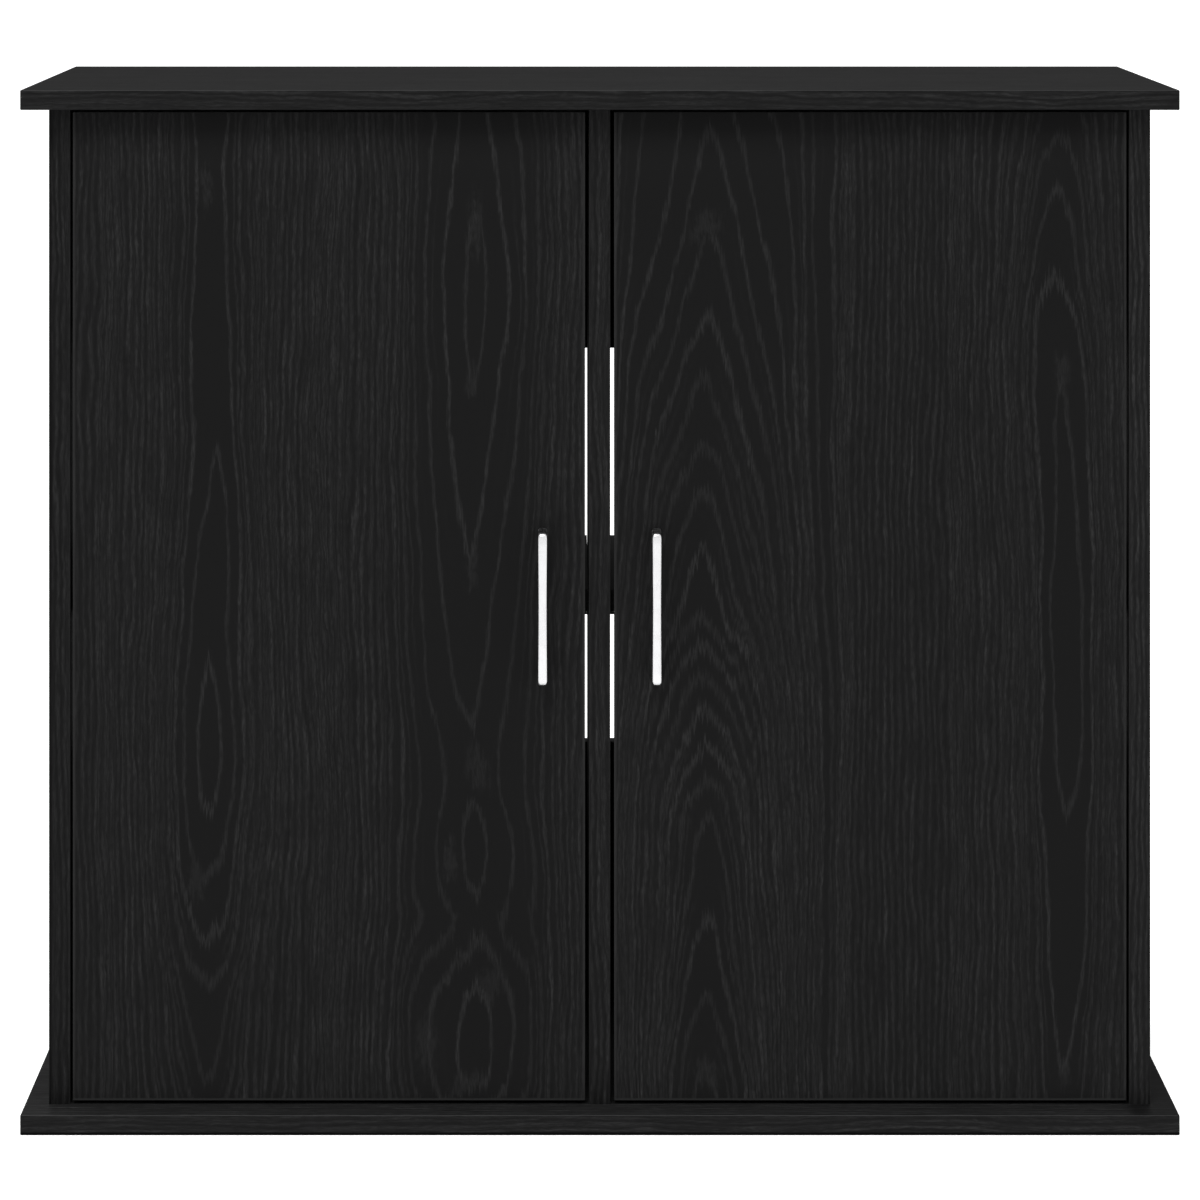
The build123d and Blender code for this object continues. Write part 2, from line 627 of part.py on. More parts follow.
# Arms: two ears on a cranked channel that sits over the mounting plate
with BuildPart() as left_hinge_arms:
    for z_mid in HINGE_Z:
        for z0 in layer_starts(z_mid, *L_EAR):
            with BuildSketch(Plane.XY.offset(z0)):
                with BuildLine():
                    Polyline(*hinge_points(ARM_CHEEK), close=True)
                make_face()
                for end, slot_w in ((PIVOT_B, LINK_W), (EAR_NECK_END, EAR_NECK_W)):
                    mid, length, turn = slot_between(PIVOT_A, end)
                    with Locations(mid):
                        SlotCenterToCenter(length, slot_w, rotation=turn)
                with Locations(*hinge_points((PIVOT_A, PIVOT_B))):
                    Circle(RIVET_R + SNUG, mode=Mode.SUBTRACT)
            extrude(amount=L_EAR[1] - L_EAR[0])
        with BuildSketch(Plane.XY.offset(z_mid - L_EAR[1])):
            with BuildLine():
                Polyline(*hinge_points(ARM_WEB), close=True)
            make_face()
        extrude(amount=2 * L_EAR[1])
    # hole for the arm screw through the web
    with BuildSketch(side_plane(ARM_X - DOOR_X_HINGE)):
        with Locations(*ARM_SCREWS):
            Circle(ARM_SCREW_HOLE_R)
    extrude(amount=-ARM_WEB_T, mode=Mode.SUBTRACT)

# Mounting plates: a winged base on the side panel and a raised rib
with BuildPart() as left_mounting_plates:
    with BuildSketch(side_plane(-X_IN)):
        with Locations(*[(Y_FRONT + PLATE_Y, z) for z in HINGE_Z]):
            RectangleRounded(*PLATE_WINGS, PLATE_WING_CORNER)
        with Locations(*[(Y_FRONT + PLATE_BODY_Y, z) for z in HINGE_Z]):
            Rectangle(*PLATE_BODY)
    extrude(amount=PLATE_T)
    with BuildSketch(side_plane(PLATE_T - X_IN)):
        with Locations(*[(Y_FRONT + RIB_Y, z) for z in HINGE_Z]):
            Rectangle(*RIB_SIZE)
    extrude(amount=RIB_H)
    with BuildSketch(side_plane(-X_IN)):
        with Locations(*PLATE_SCREWS):
            Circle(PLATE_HOLE_R)
    extrude(amount=PLATE_T, mode=Mode.SUBTRACT)
    with BuildSketch(side_plane(PLATE_T - X_IN + RIB_H)):
        with Locations(*ARM_SCREWS):
            Circle(RIB_THREAD_R)
    extrude(amount=-RIB_THREAD_DEPTH, mode=Mode.SUBTRACT)

left_plate_screws = cross_screws(
    side_plane(PLATE_T - X_IN), 1, Axis.X, PLATE_SCREWS,
    head=(4.0, 2.2, 0.9), shank=(1.9, 13.0), cross=(4.4, 0.9, 1.4))

# Screws that clamp the arms to the ribs
left_arm_screws = cross_screws(
    side_plane(ARM_X - DOOR_X_HINGE), 1, Axis.X, ARM_SCREWS,
    head=(3.6, 2.2, 0.8), shank=(1.95, 10.0), cross=(4.0, 0.9, 1.3))

# ---------------------------------------------------------------------------
# Connectors of the carcass
# ---------------------------------------------------------------------------
# Cam locks under the top panel. Each takes the head of its bolt in a blind
# radial hole and shows a cross recess on its open face.
with BuildPart() as top_cam_locks:
    for x_face, way, x_bolt in ((-X_IN, -1, -X_SIDE_MID), (-X_DIV, 1, 0.0),
                                (X_IN, 1, X_SIDE_MID)):
        with BuildSketch(side_plane(x_face + way * CAM_SUNK)):
            with Locations(*TOP_CAMS):
                Circle(CAM_R)
        extrude(amount=way * CAM_LEN)
        with BuildSketch(side_plane(x_face + way * CAM_SUNK)):
            with Locations(*TOP_CAMS):
                Rectangle(CAM_CROSS[0], CAM_CROSS[1])
                Rectangle(CAM_CROSS[1], CAM_CROSS[0])
        extrude(amount=way * CAM_CROSS_DEPTH, mode=Mode.SUBTRACT)
        with BuildSketch(Plane.XY.offset(Z_TOP_CAM - CAM_HEAD_HOLE_START)):
            with Locations(*[(x_bolt, y) for y in CAM_Y]):
                Circle(CAM_HEAD_HOLE_R)
        extrude(amount=CAM_HEAD_HOLE_L, mode=Mode.SUBTRACT)

# Cam bolts screwed up into the top panel
with BuildPart() as top_cam_bolts:
    for radius, start, end in BOLT_STEPS:
        with BuildSketch(Plane.XY.offset(Z_HIGH - start)):
            with Locations(*SLAB_CAMS):
                Circle(radius)
        extrude(amount=start - end)

# Cam locks in the rear faces of the back rails: x, and the bolt hole's way along X
RAIL_CAMS = [(s * x, s * way) for s in (-1, 1)
             for x, way in ((X_IN - CAM_SETBACK, 1), (X_DIV + CAM_SETBACK, -1))]
RAIL_CAM_CENTRES = grid([x for x, way in RAIL_CAMS], RAIL_CAM_Z)
with BuildPart() as rail_cam_locks:
    with BuildSketch(front_plane(Y_REAR - CAM_SUNK)):
        with Locations(*RAIL_CAM_CENTRES):
            Circle(CAM_R)
    extrude(amount=CAM_LEN)
    with BuildSketch(front_plane(Y_REAR - CAM_SUNK)):
        with Locations(*RAIL_CAM_CENTRES):
            Rectangle(CAM_CROSS[0], CAM_CROSS[1])
            Rectangle(CAM_CROSS[1], CAM_CROSS[0])
    extrude(amount=CAM_CROSS_DEPTH, mode=Mode.SUBTRACT)
    for x, way in RAIL_CAMS:
        with BuildSketch(side_plane(x - way * CAM_HEAD_HOLE_START)):
            with Locations(*RAIL_BOLTS):
                Circle(CAM_HEAD_HOLE_R)
        extrude(amount=way * CAM_HEAD_HOLE_L, mode=Mode.SUBTRACT)

# Bolts from the side panels into the rails
with BuildPart() as rail_cam_bolts:
    for s in (-1, 1):
        for radius, start, end in BOLT_STEPS:
            with BuildSketch(side_plane(s * (X_IN - start))):
                with Locations(*RAIL_BOLTS):
                    Circle(radius)
            extrude(amount=s * (start - end))

# Double-ended bolts through the centre divider
with BuildPart() as divider_cam_bolts:
    with BuildSketch(side_plane(-X_DIV - NECK_START)):
        with Locations(*RAIL_BOLTS):
            Circle(BOLT_SHANK_R)
    extrude(amount=2 * (X_DIV + NECK_START))
    for s in (-1, 1):
        for radius, start, end in BOLT_TIP:
            with BuildSketch(side_plane(s * (X_DIV + start))):
                with Locations(*RAIL_BOLTS):
                    Circle(radius)
            extrude(amount=s * (end - start))

# Dowels between the slabs and the uprights
with BuildPart() as wooden_dowels:
    for z0 in (Z_LOW - DOWEL_IN_SLAB, Z_HIGH - (DOWEL_L - DOWEL_IN_SLAB)):
        with BuildSketch(Plane.XY.offset(z0)):
            with Locations(*SLAB_DOWELS):
                Circle(DOWEL_R)
        extrude(amount=DOWEL_L)
    chamfer(wooden_dowels.edges().filter_by(GeomType.CIRCLE), DOWEL_CHAMFER)

# Countersunk base screws
Z_SHANK = SINK_DEPTH + SINK_CONE_H
with BuildPart() as base_screws:
    with BuildSketch(Plane.XY.offset(BASE_HEAD_Z)):
        with Locations(*SLAB_CAMS):
            Circle(BASE_HEAD_R)
    extrude(amount=SINK_DEPTH - BASE_HEAD_Z)
    with Locations(*[(x, y, SINK_DEPTH) for x, y in SLAB_CAMS]):
        Cone(BASE_HEAD_R, BASE_SHANK_R, SINK_CONE_H,
             align=(Align.CENTER, Align.CENTER, Align.MIN))
    for z0, radius, length in ((Z_SHANK, BASE_SHANK_R, BASE_THREAD_Z - Z_SHANK),
                               (BASE_THREAD_Z, BASE_THREAD_R, BASE_THREAD_L)):
        with BuildSketch(Plane.XY.offset(z0)):
            with Locations(*SLAB_CAMS):
                Circle(radius)
        extrude(amount=length)
    # hexagon socket
    with BuildSketch(Plane.XY.offset(BASE_HEAD_Z)):
        with Locations(*SLAB_CAMS):
            RegularPolygon(BASE_SOCKET_R, 6)
    extrude(amount=BASE_SOCKET_DEPTH, mode=Mode.SUBTRACT)

# ---------------------------------------------------------------------------
# Labels and files
# ---------------------------------------------------------------------------
PIECES = {
    "top_panel": top_panel,
    "base_panel": base_panel,
    "centre_divider": centre_divider,
    "top_cam_locks": top_cam_locks,
    "top_cam_bolts": top_cam_bolts,
    "rail_cam_locks": rail_cam_locks,
    "rail_cam_bolts": rail_cam_bolts,
    "divider_cam_bolts": divider_cam_bolts,
    "wooden_dowels": wooden_dowels,
    "base_screws": base_screws,
}

# Left pieces that have a mirrored right twin
LEFT_PIECES = {
    "left_side_panel": left_side_panel,
    "left_shelf": left_shelf,
    "left_shelf_pins": left_shelf_pins,
    "upper_left_back_rail": upper_left_back_rail,
    "lower_left_back_rail": lower_left_back_rail,
    "left_door": left_door,
    "left_handle": left_handle,
    "left_handle_screws": left_handle_screws,
    "left_hinge_cups": left_hinge_cups,
    "left_cup_screws": left_cup_screws,
    "left_cup_rivets": left_cup_rivets,
    "left_outer_links": left_outer_links,
    "left_inner_links": left_inner_links,
    "left_hinge_arms": left_hinge_arms,
    "left_arm_rivets": left_arm_rivets,
    "left_mounting_plates": left_mounting_plates,
    "left_plate_screws": left_plate_screws,
    "left_arm_screws": left_arm_screws,
}

for left_name, left_piece in LEFT_PIECES.items():
    PIECES[left_name] = left_piece
    PIECES[left_name.replace("left", "right")] = mirrored(left_piece)

for piece_name, piece in PIECES.items():
    piece.part.label = piece_name
    export_step(piece.part, "parts/" + piece_name + ".step")
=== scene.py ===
"""A black oak cabinet with two doors, silver bow handles and cam-lock fittings.

X runs left to right seen from the front, the doors and handles face -Y, and
the base stands on Z = 0. Meshes are in metres. Materials work in millimetres,
in the same axes.
"""
import math

import bmesh
import bpy
from mathutils import Matrix, Vector


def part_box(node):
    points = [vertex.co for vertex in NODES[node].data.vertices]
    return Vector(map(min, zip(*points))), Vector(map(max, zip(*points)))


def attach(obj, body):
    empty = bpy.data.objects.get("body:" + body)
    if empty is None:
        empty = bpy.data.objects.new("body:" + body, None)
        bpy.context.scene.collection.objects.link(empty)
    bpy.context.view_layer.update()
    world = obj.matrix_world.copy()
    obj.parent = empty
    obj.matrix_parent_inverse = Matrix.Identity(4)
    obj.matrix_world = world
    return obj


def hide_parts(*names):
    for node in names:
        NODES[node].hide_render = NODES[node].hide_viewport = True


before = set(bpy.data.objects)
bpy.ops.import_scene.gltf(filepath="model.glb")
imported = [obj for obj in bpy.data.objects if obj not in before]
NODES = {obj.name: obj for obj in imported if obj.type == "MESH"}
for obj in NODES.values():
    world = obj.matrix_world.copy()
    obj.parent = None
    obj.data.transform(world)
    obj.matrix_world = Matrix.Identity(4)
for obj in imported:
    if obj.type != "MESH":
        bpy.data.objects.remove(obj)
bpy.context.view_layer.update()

MM = 0.001
SIDES = ("left", "right")

# ---------------------------------------------------------------------------
# Node trees
# ---------------------------------------------------------------------------


class Signal:
    """A node output. Arithmetic on it adds Math nodes to its tree."""

    def __init__(self, tree, socket):
        self.tree = tree
        self.socket = socket

    def op(self, operation, *others, clamp=False):
        return self.tree.math(operation, self, *others, clamp=clamp)

    def __add__(self, other):
        return self.op("ADD", other)

    def __radd__(self, other):
        return self.tree.math("ADD", other, self)

    def __sub__(self, other):
        return self.op("SUBTRACT", other)

    def __rsub__(self, other):
        return self.tree.math("SUBTRACT", other, self)

    def __mul__(self, other):
        return self.op("MULTIPLY", other)

    def __truediv__(self, other):
        return self.op("DIVIDE", other)

    def __pow__(self, other):
        return self.op("POWER", other)

    def __abs__(self):
        return self.op("ABSOLUTE")

    def times_plus(self, factor, offset):
        return self.op("MULTIPLY_ADD", factor, offset)

    def ramp(self, start, end, first=0.0, last=1.0):
        """Smooth ramp from first, at start, to last, at end."""
        inputs = {"Value": self, "From Min": start, "From Max": end,
                  "To Min": first, "To Max": last}
        return self.tree.value("ShaderNodeMapRange", inputs,
                               interpolation_type="SMOOTHSTEP", clamp=True)

    def mix(self, off, on):
        """The number off where this signal is 0, on where it is 1."""
        return self.tree.value("ShaderNodeMix", {0: self, 2: off, 3: on},
                               data_type="FLOAT", clamp_factor=True)

    def mix_colour(self, off, on):
        return self.tree.value("ShaderNodeMix", {0: self, 6: off, 7: on}, output=2,
                               data_type="RGBA", blend_type="MIX", clamp_factor=True)

    def split(self):
        node = self.tree.node("ShaderNodeSeparateXYZ", {0: self})
        return [Signal(self.tree, socket) for socket in node.outputs]

    def noise(self, scale, detail=2.0, roughness=0.5):
        """Noise with this signal as its vector."""
        inputs = {"Vector": self, "Scale": scale, "Detail": detail, "Roughness": roughness}
        return self.tree.value("ShaderNodeTexNoise", inputs)

    def curve(self, points):
        """Smooth curve through (x, y) points given in real units."""
        x_min, x_max = min(x for x, y in points), max(x for x, y in points)
        # a hair of margin keeps the range of a flat curve above zero
        y_min, y_max = min(y for x, y in points) - 1e-6, max(y for x, y in points) + 1e-6
        place = (self - x_min).op("DIVIDE", x_max - x_min, clamp=True)
        node = self.tree.node("ShaderNodeFloatCurve", {"Value": place})
        node.mapping.extend = "HORIZONTAL"
        knots = node.mapping.curves[0].points
        unit_points = sorted(((x - x_min) / (x_max - x_min), (y - y_min) / (y_max - y_min))
                             for x, y in points)
        while len(knots) < len(unit_points):
            knots.new(0.5, 0.5)
        for i, point in enumerate(unit_points):
            knots[i].location = point
            knots[i].handle_type = "AUTO_CLAMPED"
        node.mapping.update()
        return Signal(self.tree, node.outputs[0]).times_plus(y_max - y_min, y_min)


class Tree:
    """Adds nodes. Inputs map a socket's name or number to a Signal or a constant."""

    def __init__(self, node_tree):
        node_tree.nodes.clear()
        self.nodes = node_tree.nodes
        self.links = node_tree.links

    def node(self, kind, inputs=None, **settings):
        node = self.nodes.new(kind)
        for key, setting in settings.items():
            setattr(node, key, setting)
        for key, value in (inputs or {}).items():
            if isinstance(value, Signal):
                self.links.new(value.socket, node.inputs[key])
            else:
                node.inputs[key].default_value = value
        return node

    def value(self, kind, inputs=None, output=0, **settings):
        return Signal(self, self.node(kind, inputs, **settings).outputs[output])

    def math(self, operation, *values, clamp=False):
        return self.value("ShaderNodeMath", dict(enumerate(values)),
                          operation=operation, use_clamp=clamp)

    def vector(self, x, y, z):
        return self.value("ShaderNodeCombineXYZ", {0: x, 1: y, 2: z})

    def position_mm(self):
        """The coordinate node, and the object-space x, y and z in millimetres."""
        coords = self.node("ShaderNodeTexCoord")
        place = self.value("ShaderNodeVectorMath",
                           {0: Signal(self, coords.outputs["Object"]), "Scale": 1000.0},
                           operation="SCALE")
        return coords, place.split()

    def bump(self, height, strength, distance):
        """Bumped normal; distance is in metres."""
        inputs = {"Height": height, "Strength": strength, "Distance": distance}
        return self.value("ShaderNodeBump", inputs)

    def surface(self, shader):
        self.node("ShaderNodeOutputMaterial", {"Surface": shader})

    def principled(self, inputs):
        return self.value("ShaderNodeBsdfPrincipled", inputs)


def srgb(tone):
    """sRGB grey, 0 to 255, to linear."""
    tone = tone / 255.0
    return tone / 12.92 if tone <= 0.04045 else ((tone + 0.055) / 1.055) ** 2.4


def grey(level):
    return (level, level, level, 1.0)


def new_material(name):
    material = bpy.data.materials.new(name)
    material.use_nodes = True
    return material, Tree(material.node_tree)


def new_group(name, inputs, outputs):
    """A node group of float sockets, its tree and its inputs as signals."""
    group = bpy.data.node_groups.new(name, "ShaderNodeTree")
    for direction, labels in (("INPUT", inputs), ("OUTPUT", outputs)):
        for label in labels:
            group.interface.new_socket(name=label, in_out=direction,
                                       socket_type="NodeSocketFloat")
    tree = Tree(group)
    source = tree.node("NodeGroupInput")
    return group, tree, [Signal(tree, source.outputs[i]) for i in range(len(inputs))]


# ---------------------------------------------------------------------------
# Black oak decor. U runs across the grain, V along it, both in mm.
# ---------------------------------------------------------------------------

# Noises: size across and along the grain in mm, detail, roughness, seed
WARP_NOISES = {
    "slow": (95.0, 300.0, 1.0, 0.4, 1.7),
    "mid": (26.0, 95.0, 1.0, 0.4, 5.1),
    "wander": (9.0, 30.0, 1.0, 0.5, 7.7),
    "jag": (2.4, 9.0, 1.0, 0.5, 9.3),
    "teeth": (1.3, 60.0, 1.0, 0.5, 14.9),
    "lift": (26.0, 110.0, 1.0, 0.5, 17.3),
}
OAK_NOISES = {
    "patch": (22.0, 80.0, 2.0, 0.5, 31.0),
    "along": (3.2, 40.0, 1.0, 0.5, 36.0),
    "pores": (0.95, 6.0, 1.0, 0.5, 41.0),
    "mottle": (3.4, 9.0, 2.0, 0.6, 71.0),
    "fibre": (1.35, 16.0, 2.0, 0.65, 47.0),
    "specks": (1.3, 7.0, 1.0, 0.5, 50.0),
    "dashes": (1.2, 13.0, 1.0, 0.5, 53.0),
    "cloud": (70.0, 230.0, 2.0, 0.5, 59.0),
}


def grain_noises(tree, u, v, shift, table):
    """The noises of a table, each centred on zero, roughly -1 to 1."""
    noises = {}
    for name, (width, length, detail, roughness, seed) in table.items():
        place = tree.vector(u / width, v / length, shift + seed)
        noises[name] = place.noise(1.0, detail, roughness).times_plus(4.0, -2.0)
    return noises


def make_warp_group():
    """Shifts U and V by a few tenths of a millimetre to a few millimetres, so
    that ring lines wander, and fray into upright teeth."""
    group, tree, (u, v, shift, sway) = new_group(
        "oak_warp", ("U", "V", "Shift", "Sway"), ("U2", "V2"))
    noise = grain_noises(tree, u, v, shift, WARP_NOISES)
    # amplitudes in mm
    bends = noise["slow"] * 5.5 + noise["mid"] * 2.3
    warped_u = u + bends * sway + noise["wander"] * 0.8 + noise["jag"] * 0.55
    warped_v = v + noise["teeth"] * 6.5 + noise["lift"] * 8.0
    tree.node("NodeGroupOutput", {"U2": warped_u, "V2": warped_v})
    return group


def make_oak_group():
    """Rings is the growth-ring count. Slope and Rise are its change per
    millimetre across and along the grain."""
    group, tree, (u, v, rings, slope, climb, knots, shift) = new_group(
        "black_oak_decor", ("U", "V", "Rings", "Slope", "Rise", "Knots", "Shift"),
        ("Tone", "Height"))
    noise = grain_noises(tree, u, v, shift, OAK_NOISES)

    def ring_lines(count, per_ring, half_width, half_length, seed):
        """Lines of an even width, drawn out along the grain at a bend, and a
        random value for each. Half sizes are in mm."""
        across = slope * (half_width * per_ring)
        along = climb * (half_length * per_ring)
        width = (across * across + along * along).op("SQRT").op("MINIMUM", 0.36)
        offset = count.op("FRACT") - 0.5
        rise = offset.ramp(width * -1.35, width * -0.25)
        fall = offset.ramp(width * 0.15, width * 1.35, first=1.0, last=0.0)
        line_seed = count.op("FLOOR").times_plus(0.731, seed)
        random = tree.value("ShaderNodeTexWhiteNoise", {"W": line_seed},
                            noise_dimensions="1D")
        return rise * fall, random

    main, main_random = ring_lines(
        rings, per_ring=1.0, half_width=1.5, half_length=5.0, seed=3.3)
    minor, minor_random = ring_lines(
        rings.times_plus(2.0, 0.37), per_ring=2.0, half_width=0.8, half_length=3.0, seed=8.1)
    dense = slope.ramp(0.09, 0.19)

    # strength varies from line to line; minor lines need close rings
    main = main * main_random.times_plus(0.40, 0.60)
    minor = minor * (minor_random.ramp(0.2, 0.9) * slope.ramp(0.045, 0.12) * 0.7)
    patch = noise["patch"].ramp(-1.0, 0.9, first=0.80, last=1.10)
    along = noise["along"].ramp(-0.9, 0.7, first=0.45, last=1.25)
    along = dense.mix(along.times_plus(0.45, 0.58), along)
    pores = noise["pores"].ramp(-0.8, 0.6, first=0.55, last=1.25)
    lit = main.op("MAXIMUM", minor) * patch * along * pores

    # mottled figure at the knots
    mottle = (noise["mottle"] + knots * 1.5).ramp(0.15, 1.35)
    lit = lit.op("MAXIMUM", mottle * knots.ramp(0.12, 0.75) * pores * 0.55)

    # fibres between the lines; calm where the rings run wide
    calm = dense.times_plus(0.88, 0.12)
    fibre = noise["fibre"] * calm
    specks = noise["specks"].ramp(0.35, 1.05) * calm
    dashes = noise["dashes"].ramp(0.35, 1.1) * calm

    # ground tone plus the share of each feature
    tone = (0.19 + lit * 0.84 + fibre * 0.17 + specks * 0.30 + noise["cloud"] * 0.03
            - dashes * 0.20)
    height = fibre * 0.25 - (lit * 0.8 + dashes * 0.8)
    tree.node("NodeGroupOutput", {"Tone": tone, "Height": height})
    return group


WARP = make_warp_group()
OAK = make_oak_group()

DECOR_SCALE = 0.315  # from the linear sRGB tone to the base colour
GROUND = srgb(24.7) * DECOR_SCALE
LINES = srgb(46.5) * DECOR_SCALE
# painted shade for edges that face down
UNDERSIDE_SHADE = grey(srgb(10) * DECOR_SCALE)
HIGHLIGHT_TONES = {"upright": 60, "level": 90}  # sRGB grey of the painted highlight on an edge band
TONE_GAMMA = 2.2  # the tone steps are even to the eye

# Cathedral figure: round tip of the innermost ring
TIP_MM = 3.8
TIP_SPREAD = 150.0  # square mm over which the tip fades
TIP_START_MM = 1.2  # the bend gives back the rings from here to TIP_MM

# Steps over which the change of the ring count is taken, in mm
STEP_ACROSS = 1.0
STEP_ALONG = 6.0


def cathedral(across, along, columns, ring):
    """Growth-ring count of a flat-sawn face, from the columns of DOORS."""
    side, bend = None, None
    for axis, profile, width, rings in columns:
        offset = across - axis
        square = offset * offset
        tip = (square * (-1.0 / TIP_SPREAD)).op("EXPONENT") * TIP_MM ** 2
        distance = (square + tip).op("SQRT")
        # both tip distances lie on the first stretch of the profile
        reach, gained = profile[1]
        lag = gained * TIP_MM / reach - gained * TIP_START_MM / reach
        beyond = (distance - profile[-1][0]).op("MAXIMUM", 0.0) / ring
        count = distance.curve(profile) + beyond
        side = count if side is None else side.op("MINIMUM", count)
        weight = (square * distance * (-1.0 / width ** 3)).op("EXPONENT")
        turn = weight * (along.curve(rings) - lag)
        bend = turn if bend is None else bend + turn
    return side + bend


def knot_figure(u, v, figure):
    """Soft spots, 1 at the centre of each knot."""
    knots = None
    for knot_u, knot_v, radius_u, radius_v in figure:
        across = (u - knot_u) / radius_u
        along = (v - knot_v) / radius_v
        spot = ((across * across + along * along) * -1.0).op("EXPONENT")
        knots = spot if knots is None else knots.op("MAXIMUM", spot)
    return knots


def decor_surface(tree, tone, height, edge_highlight, gain, under, highlight_tone):
    """Melamine foil: near-black diffuse, weak broad sheen, embossed grain. Gain and the edge
    colours carry painted light and shade.
    """
    dark, light = GROUND ** (1 / TONE_GAMMA), LINES ** (1 / TONE_GAMMA)
    level = tone.op("MAXIMUM", 0.0).times_plus(light - dark, dark) ** TONE_GAMMA * gain
    # a trace more blue than red and green
    colour = tree.value("ShaderNodeCombineColor", {0: level, 1: level, 2: level * 1.01})
    # painted edge: a painted highlight on chamfers and rims, painted shade on those that face
    # down
    painted_edge = under.mix_colour(grey(srgb(highlight_tone) * DECOR_SCALE), UNDERSIDE_SHADE)
    colour = edge_highlight.mix_colour(colour, painted_edge)
    normal = tree.bump(height, strength=0.35, distance=0.00006)
    base = tree.principled({"Base Color": colour, "Roughness": 0.6,
                            "Specular IOR Level": 0.0, "Normal": normal})
    gloss = tree.value("ShaderNodeBsdfGlossy", {
        "Color": grey(1.0), "Roughness": height.times_plus(-0.06, 0.42), "Normal": normal})
    # facing: 0 face-on, 1 edge-on
    facing = tree.value("ShaderNodeLayerWeight", {"Blend": 0.5}, output="Facing")
    # the sheen fades on downward edges: painted shade
    sheen = facing.ramp(0.25, 1.0, first=0.0022, last=0.011) * (1.0 - edge_highlight * under * 0.9)
    tree.surface(tree.value("ShaderNodeMixShader", {0: sheen, 1: base, 2: gloss}))


# Door faces, seen from the front, in mm.
# Columns: position across the grain, (distance from the axis, ring count),
# half width of the bend, (height, rings gained).
# Figure, mottled and light: x, z, radius in x, radius in z.
DOORS = {
    "left_door": ([
        (-273.0, [(0, 0), (14, 1.0), (24, 2.2), (34, 3.9), (50, 7.1), (90, 15.1)], 52.0,
         [(16, 2.8), (28, 2.5), (91, 1.5), (122, 0.5), (164, -0.5), (216, -1.5), (258, -1.9),
          (334, -1.5), (403, -1.0), (485, -0.5), (600, -0.2), (658, 0.0), (713, -0.3)]),
        (-90.0, [(0, 0), (18, 1.05), (35, 2.1), (47, 3.3), (58, 4.9), (75, 8.3), (90, 11.3)],
         55.0,
         [(16, 0.9), (23, 0.5), (65, 0.0), (106, 0.5), (133, 1.5), (143, 1.7), (153, 1.5),
          (195, 1.15), (243, 1.56), (310, 1.05), (393, 0.5), (519, -0.5), (576, -0.85),
          (650, -0.5), (701, -0.05), (713, 0.05)]),
    ], [
        (-276.0, 657.0, 5.0, 18.0), (-91.0, 635.0, 7.0, 28.0), (-92.0, 527.0, 7.0, 14.0),
        (-88.0, 393.0, 5.0, 24.0), (-86.0, 250.0, 11.0, 18.0), (-108.0, 182.0, 6.0, 16.0),
        (-279.0, 164.0, 7.0, 16.0), (-120.0, 60.0, 8.0, 24.0), (-96.0, 28.0, 13.0, 10.0),
        (-81.0, 104.0, 11.0, 13.0),
    ]),
    "right_door": ([
        (76.0, [(0, 0), (13, 0.85), (26, 2.0), (38, 3.3), (50, 4.9), (62, 7.0), (79, 10.3),
                (88, 11.2), (100, 13.6)], 62.0,
         [(16, -9.8), (44, -9.5), (93, -8.5), (156, -7.5), (219, -6.5), (245, -5.5),
          (271, -4.5), (297, -3.5), (318, -2.5), (339, -1.5), (360, -0.5), (409, 0.5),
          (451, 1.5), (482, 2.5), (527, 3.5), (568, 4.5), (626, 5.5), (700, 6.4), (713, 6.6)]),
        (326.0, [(0, 0), (15, 1.0), (24, 2.3), (32, 3.9), (50, 7.5), (90, 15.5)], 40.0,
         [(16, 0.8), (38, 0.5), (90, 0.1), (150, -0.2), (206, -0.5), (260, -0.9),
          (341, -1.1), (440, -0.8), (535, -0.5), (600, 0.5), (657, 1.5), (696, 2.5),
          (713, 2.9)]),
    ], [
        (73.0, 626.0, 13.0, 16.0), (327.0, 534.0, 7.0, 15.0), (326.0, 40.0, 6.0, 14.0),
        (77.0, 36.0, 9.0, 12.0),
    ]),
}

# Painted light and shade on a door face: gain against height in mm
DOOR_LIGHT_GAIN = [
    (16, 1.60), (20, 1.53), (24, 1.44), (28, 1.34), (34, 1.24), (42, 1.17), (55, 1.11),
    (75, 1.05), (100, 1.0), (300, 0.98), (640, 0.99), (670, 1.04), (687, 1.11), (693, 1.09),
    (699, 1.0), (706, 0.93), (713, 0.92),
]

